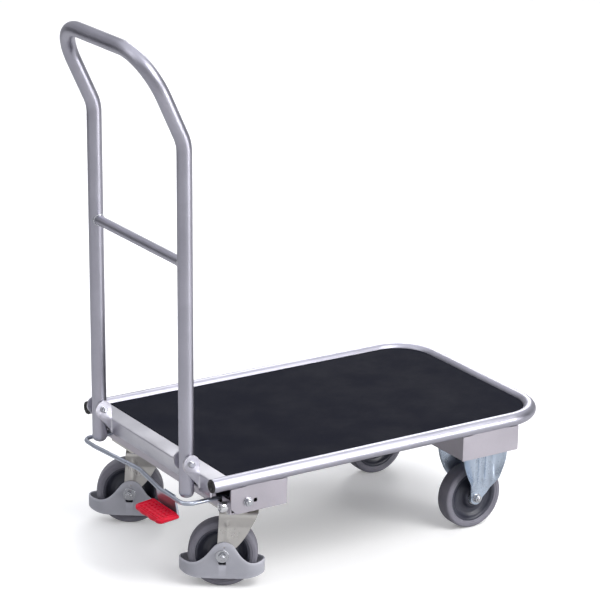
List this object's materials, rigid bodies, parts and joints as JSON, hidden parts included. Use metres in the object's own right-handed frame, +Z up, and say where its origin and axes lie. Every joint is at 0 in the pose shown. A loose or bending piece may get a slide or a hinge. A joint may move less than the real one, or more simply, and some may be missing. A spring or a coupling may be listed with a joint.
{
  "type": "folding platform cart",
  "caption": "Platform cart with a tube-rimmed anti-slip deck, a push handle that folds over the deck, a foot-pedal latch, two swivel and two fixed castors.",
  "frame": {"origin": "centre of the cart's footprint box, on the floor that the wheels stand on", "axes": "+X from the handle end towards the far end of the deck, +Y to the left of someone who pushes it, +Z up"},
  "size_m": [0.854, 0.4711, 0.9934],
  "materials": {
    "aluminium_tube": "satin anodised, fine drawn texture",
    "end_plastic": "moulded black",
    "deck_board": "fine anti-slip grain",
    "beam_steel": "satin",
    "hinge_steel": "satin silver coat",
    "zinc_bolt": "zinc plated",
    "bail_steel": "blue-grey zinc plated",
    "pedal_red": "moulded, slightly worn",
    "fork_warm": "zinc plated, warm grey",
    "fork_blue": "zinc plated, bluish",
    "guard_grey": "moulded light grey",
    "tyre_grey": "solid grey rubber",
    "hub_dark": "moulded dark",
    "pad_rubber": "matt",
    "bearing_steel": "polished"
  },
  "bodies": {
    "deck": {"rim_tube": "aluminium_tube", "rim_plugs": "end_plastic", "deck_panel": "deck_board", "panel_rails": "beam_steel", "panel_screws": "zinc_bolt", "hinge_crossmember": "hinge_steel", "handle_stop_pads": "pad_rubber", "handle_pivot_bolts": "zinc_bolt", "handle_pivot_nuts": "zinc_bolt", "front_crossbeam": "beam_steel", "front_end_plates": "beam_steel", "rear_crossbeam": "beam_steel", "rear_end_plates": "beam_steel", "beam_bosses": "bearing_steel", "caster_bolts": "zinc_bolt", "caster_nuts": "zinc_bolt", "swivel_plate_right": "fork_warm", "swivel_plate_left": "fork_warm", "kingpins": "zinc_bolt", "kingpin_nuts": "zinc_bolt", "fixed_fork_right": "fork_blue", "fixed_fork_left": "fork_blue", "fixed_sleeves": "bearing_steel", "fixed_axles": "zinc_bolt", "fixed_axle_nuts": "zinc_bolt"},
    "handle": {"handle_tube": "aluminium_tube", "handle_crossbar": "aluminium_tube", "handle_end_caps": "aluminium_tube", "pivot_sleeves": "bearing_steel"},
    "latch_bail": {"latch_bail": "bail_steel", "pedal_bracket": "bail_steel", "foot_pedal": "pedal_red", "bail_nuts": "zinc_bolt", "bail_springs": "bearing_steel"},
    "swivel_right": {"swivel_fork_right": "fork_warm", "swivel_balls_right": "bearing_steel", "swivel_guard_right": "guard_grey", "swivel_sleeve_right": "bearing_steel", "swivel_axle_right": "zinc_bolt", "swivel_axle_nut_right": "zinc_bolt"},
    "front_wheel_right": {"front_tyre_right": "tyre_grey", "front_hub_right": "hub_dark", "front_bearings_right": "bearing_steel"},
    "rear_wheel_right": {"rear_tyre_right": "tyre_grey", "rear_hub_right": "hub_dark", "rear_bearings_right": "bearing_steel"},
    "swivel_left": {"swivel_fork_left": "fork_warm", "swivel_balls_left": "bearing_steel", "swivel_guard_left": "guard_grey", "swivel_sleeve_left": "bearing_steel", "swivel_axle_left": "zinc_bolt", "swivel_axle_nut_left": "zinc_bolt"},
    "front_wheel_left": {"front_tyre_left": "tyre_grey", "front_hub_left": "hub_dark", "front_bearings_left": "bearing_steel"},
    "rear_wheel_left": {"rear_tyre_left": "tyre_grey", "rear_hub_left": "hub_dark", "rear_bearings_left": "bearing_steel"}
  },
  "joints": [
    {"name": "handle_fold", "type": "hinge", "parent": "deck", "child": "handle", "pos_m": [-0.33005, 0, 0.251], "axis": [0, 1, 0], "range_deg": [0, 90]},
    {"name": "latch_pedal", "type": "hinge", "parent": "deck", "child": "latch_bail", "pos_m": [-0.24595, 0, 0.1826], "axis": [0, 1, 0], "range_deg": [0, 8], "stiffness_Nm_per_rad": 2, "springref_deg": 34.38},
    {"name": "swivel_turn_right", "type": "hinge", "parent": "deck", "child": "swivel_right", "pos_m": [-0.22545, -0.1665, 0.155], "axis": [0, 0, 1], "continuous": true},
    {"name": "front_spin_right", "type": "hinge", "parent": "swivel_right", "child": "front_wheel_right", "pos_m": [-0.24949, -0.15028, 0.0625], "axis": [0.5592, 0.829, 0], "continuous": true},
    {"name": "rear_spin_right", "type": "hinge", "parent": "deck", "child": "rear_wheel_right", "pos_m": [0.28855, -0.158, 0.0625], "axis": [0, 1, 0], "continuous": true},
    {"name": "swivel_turn_left", "type": "hinge", "parent": "deck", "child": "swivel_left", "pos_m": [-0.22545, 0.1665, 0.155], "axis": [0, 0, 1], "continuous": true},
    {"name": "front_spin_left", "type": "hinge", "parent": "swivel_left", "child": "front_wheel_left", "pos_m": [-0.24949, 0.18272, 0.0625], "axis": [0.5592, 0.829, 0], "continuous": true},
    {"name": "rear_spin_left", "type": "hinge", "parent": "deck", "child": "rear_wheel_left", "pos_m": [0.28855, 0.158, 0.0625], "axis": [0, 1, 0], "continuous": true}
  ]
}
